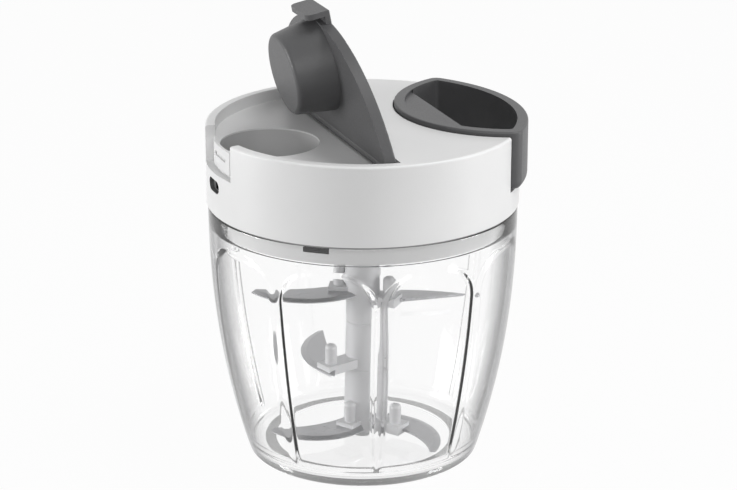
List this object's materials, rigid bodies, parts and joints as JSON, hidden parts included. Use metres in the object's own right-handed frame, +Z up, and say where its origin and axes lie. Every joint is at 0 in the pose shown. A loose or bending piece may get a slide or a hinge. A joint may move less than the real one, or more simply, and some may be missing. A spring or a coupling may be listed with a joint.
{
  "type": "hand-pulled food chopper",
  "caption": "Clear-bowl hand chopper with a fill flap, a pull-cord handle in its lid and a stack of curved blades on a central hub.",
  "frame": {"origin": "on the blades' axis, at the underside of the bowl", "axes": "+Z up along the blades' axis, +X towards the pull handle, -X towards the tab of the fill flap"},
  "size_m": [0.1332, 0.13, 0.1943],
  "materials": {
    "lid_plastic": "satin light grey",
    "base_plastic": "satin light grey",
    "grey_plastic": "fine-grained dark grey",
    "hub_plastic": "satin mid grey",
    "inner_plastic": "plain natural",
    "spindle_plastic": "plain grey",
    "clear_plastic": "clear polished",
    "blade_steel": "brushed",
    "spring_steel": "plain",
    "fastener_steel": "plain",
    "guide_steel": "polished",
    "bush_brass": "plain",
    "soft_seal": "matte",
    "base_rubber": "matte",
    "cord": "braided"
  },
  "bodies": {
    "bowl": {"bowl": "clear_plastic", "base_ring": "base_rubber", "pivot_pin": "fastener_steel"},
    "lid": {"lid_shell": "lid_plastic", "lid_base": "base_plastic", "lid_gasket": "soft_seal", "lid_screws": "fastener_steel", "spindle_bush": "bush_brass", "spring_case": "inner_plastic", "case_screws": "fastener_steel", "recoil_spring": "spring_steel", "cord_guide": "guide_steel", "cord_lead": "cord", "flap_pin": "fastener_steel"},
    "flap": {"flap": "grey_plastic", "flap_plug": "grey_plastic"},
    "handle": {"handle": "grey_plastic", "cord_tail": "cord", "cord_ferrule": "guide_steel"},
    "reel": {"cord_reel": "inner_plastic", "wound_cord": "cord", "clutch_pawls": "inner_plastic"},
    "drive": {"ratchet_wheel": "inner_plastic", "drive_spindle": "spindle_plastic", "spindle_clip": "spring_steel"},
    "blades": {"hub_lower": "hub_plastic", "hub_middle": "hub_plastic", "hub_upper": "hub_plastic", "core_rod": "fastener_steel", "blade_lower_left": "blade_steel", "blade_lower_right": "blade_steel", "blade_middle": "blade_steel", "blade_upper_left": "blade_steel", "blade_upper_right": "blade_steel"}
  },
  "joints": [
    {"name": "lid_lift", "type": "slide", "parent": "bowl", "child": "lid", "axis": [0, 0, 1], "range_m": [0, 0.16]},
    {"name": "flap_hinge", "type": "hinge", "parent": "lid", "child": "flap", "pos_m": [-0.0108, 0, 0.1406], "axis": [0, 1, 0], "range_deg": [-79, 8]},
    {"name": "handle_pull", "type": "slide", "parent": "lid", "child": "handle", "axis": [1, 0, 0], "range_m": [0, 0.3], "stiffness_N_per_m": 20, "springref_m": -0.1},
    {"name": "reel_spin", "type": "hinge", "parent": "lid", "child": "reel", "pos_m": [0, 0, 0.1238], "axis": [0, 0, 1], "range_deg": [-5, 1870]},
    {"name": "drive_spin", "type": "hinge", "parent": "lid", "child": "drive", "pos_m": [0, 0, 0.1238], "axis": [0, 0, 1], "range_deg": [-5, 1870]},
    {"name": "blade_spin", "type": "hinge", "parent": "bowl", "child": "blades", "pos_m": [0, 0, 0.02], "axis": [0, 0, 1], "range_deg": [-5, 1870]}
  ],
  "couplings": [
    {"joint": "reel_spin", "follows": "handle_pull", "rad_per_m": 108.11},
    {"joint": "drive_spin", "follows": "handle_pull", "rad_per_m": 108.11},
    {"joint": "blade_spin", "follows": "handle_pull", "rad_per_m": 108.11}
  ]
}
